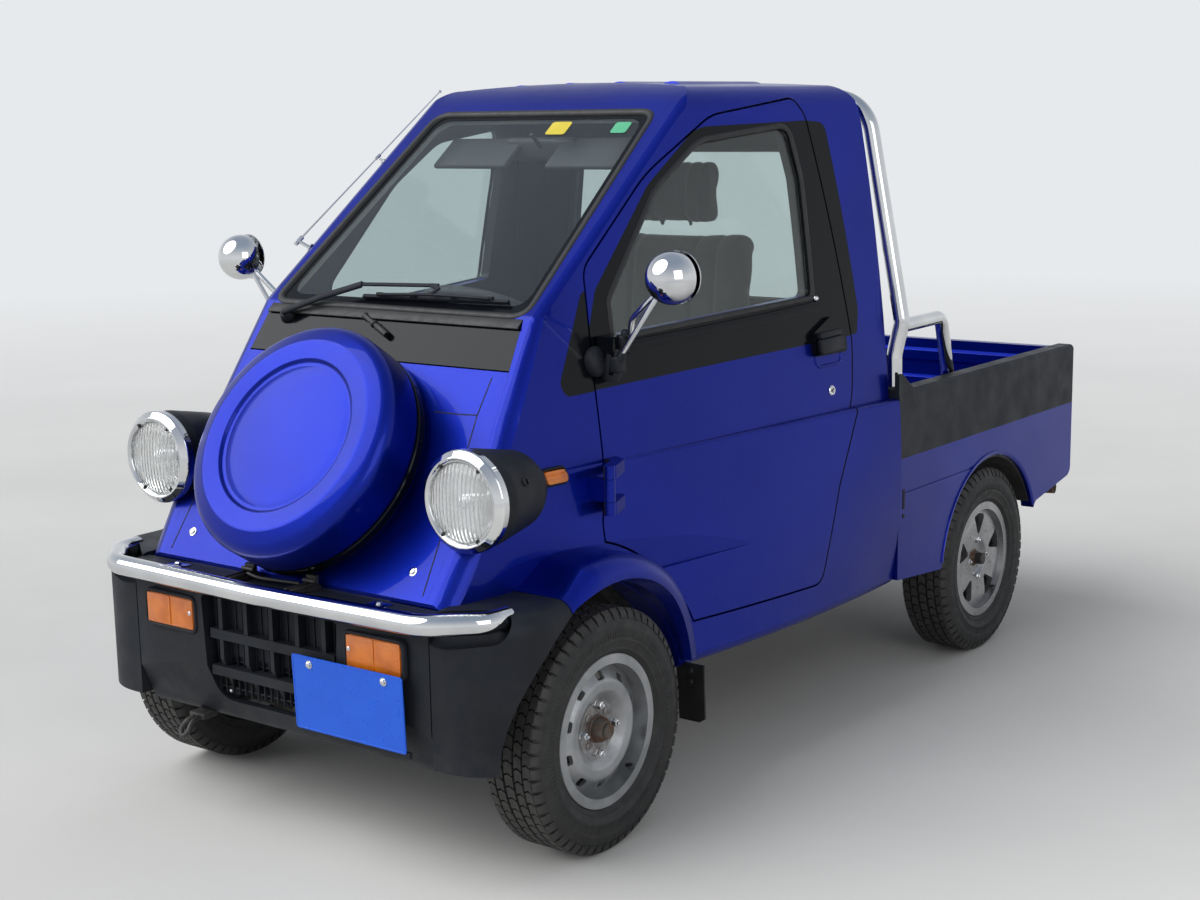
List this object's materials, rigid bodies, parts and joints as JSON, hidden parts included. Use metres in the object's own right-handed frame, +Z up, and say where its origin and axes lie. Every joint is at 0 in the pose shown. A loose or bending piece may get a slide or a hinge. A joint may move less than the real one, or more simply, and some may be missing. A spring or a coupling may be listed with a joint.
{
  "type": "small kei pickup truck",
  "caption": "Small one-seat kei pickup with a sloping nose, round spare wheel cover, pod headlamps, open load bed and roll bar.",
  "frame": {"origin": "on the ground under the middle of the truck", "axes": "+Z up, the truck's front faces -Y, its left side is +X"},
  "size_m": [1.442, 2.8694, 1.6485],
  "materials": {
    "alloy": "machined",
    "amber": "clear amber",
    "black_gloss": "gloss",
    "black_plastic": "grained",
    "body_paint": "metallic blue",
    "cast_metal": "raw",
    "chassis_paint": "satin black",
    "chrome": "polished",
    "clear_glass": "clear",
    "lamp_glass": "fluted",
    "red_lens": "clear red",
    "seat_cloth": "woven",
    "silver_paint": "satin",
    "trim": "grained",
    "tyre_rubber": "worn"
  },
  "bodies": {
    "door_left_body": {"door_left": "body_paint", "door_surround_left": "black_gloss", "door_glass_left": "clear_glass", "mirror_left": "chrome"},
    "knuckle_left_body": {"knuckle_left": "cast_metal"},
    "door_right_body": {"door_right": "body_paint", "door_surround_right": "black_gloss", "door_glass_right": "clear_glass", "mirror_right": "chrome"},
    "knuckle_right_body": {"knuckle_right": "cast_metal"},
    "tailgate_body": {"tailgate": "body_paint"},
    "steering_wheel_body": {"steering_wheel": "trim"},
    "wheel_front_left": {"rim_front_left": "silver_paint", "tyre_front_left": "tyre_rubber"},
    "wheel_front_right": {"rim_front_right": "silver_paint", "tyre_front_right": "tyre_rubber"},
    "wheel_rear_left": {"rim_rear_left": "alloy", "tyre_rear_left": "tyre_rubber"},
    "wheel_rear_right": {"rim_rear_right": "alloy", "tyre_rear_right": "tyre_rubber"},
    "body": {"bed_cladding": "black_plastic", "bed_floor": "body_paint", "bed_sides": "body_paint", "bumper_corners": "black_plastic", "bumper_cover": "black_plastic", "bumper_tube": "chrome", "cab_floor": "body_paint", "cab_glass": "clear_glass", "cab_rear_wall": "body_paint", "cab_sides": "body_paint", "chassis_frame": "chassis_paint", "cowl_garnish": "black_gloss", "dashboard": "trim", "engine_block": "cast_metal", "exhaust": "cast_metal", "front_fenders": "body_paint", "front_suspension": "chassis_paint", "fuel_tank": "chassis_paint", "grille": "black_plastic", "headlamp_lenses": "lamp_glass", "headlamp_pods": "black_plastic", "headlamp_rings": "chrome", "leaf_springs": "chassis_paint", "nose_panel": "body_paint", "rear_axle": "chassis_paint", "rear_lamps": "red_lens", "roll_bar": "chrome", "roof": "body_paint", "seat_back": "seat_cloth", "seat_cushion": "seat_cloth", "seat_headrest": "seat_cloth", "side_garnishes": "black_gloss", "signal_lamps": "amber", "spare_carrier": "chassis_paint", "spare_cover": "body_paint", "steering_column": "trim"}
  },
  "joints": [
    {"name": "door_left_hinge", "type": "hinge", "parent": "body", "child": "door_left_body", "pos_m": [0.556, -0.882, 0.77], "axis": [0, 0, -1], "range_deg": [0, 55]},
    {"name": "steer_left", "type": "hinge", "parent": "body", "child": "knuckle_left_body", "pos_m": [0.54, -0.98, 0.268], "axis": [0, 0, 1], "range_deg": [-34, 34]},
    {"name": "door_right_hinge", "type": "hinge", "parent": "body", "child": "door_right_body", "pos_m": [-0.556, -0.882, 0.77], "axis": [0, 0, 1], "range_deg": [0, 55]},
    {"name": "steer_right", "type": "hinge", "parent": "body", "child": "knuckle_right_body", "pos_m": [-0.54, -0.98, 0.268], "axis": [0, 0, 1], "range_deg": [-34, 34]},
    {"name": "steering_wheel_turn", "type": "hinge", "parent": "body", "child": "steering_wheel_body", "pos_m": [0, -0.58, 1.07], "axis": [0, 0.5, 0.866], "range_deg": [-510, 510]},
    {"name": "tailgate_hinge", "type": "hinge", "parent": "body", "child": "tailgate_body", "pos_m": [0, 1.419, 0.622], "axis": [-1, 0, 0], "range_deg": [0, 90]},
    {"name": "spin_front_left", "type": "hinge", "parent": "knuckle_left_body", "child": "wheel_front_left", "pos_m": [0.555, -0.98, 0.268], "axis": [1, 0, 0], "continuous": true},
    {"name": "spin_front_right", "type": "hinge", "parent": "knuckle_right_body", "child": "wheel_front_right", "pos_m": [-0.555, -0.98, 0.268], "axis": [1, 0, 0], "continuous": true},
    {"name": "spin_rear_left", "type": "hinge", "parent": "body", "child": "wheel_rear_left", "pos_m": [0.555, 0.86, 0.268], "axis": [1, 0, 0], "continuous": true},
    {"name": "spin_rear_right", "type": "hinge", "parent": "body", "child": "wheel_rear_right", "pos_m": [-0.555, 0.86, 0.268], "axis": [1, 0, 0], "continuous": true}
  ],
  "couplings": [
    {"joint": "steer_right", "follows": "steer_left", "ratio": 1},
    {"joint": "steering_wheel_turn", "follows": "steer_left", "ratio": 15}
  ]
}
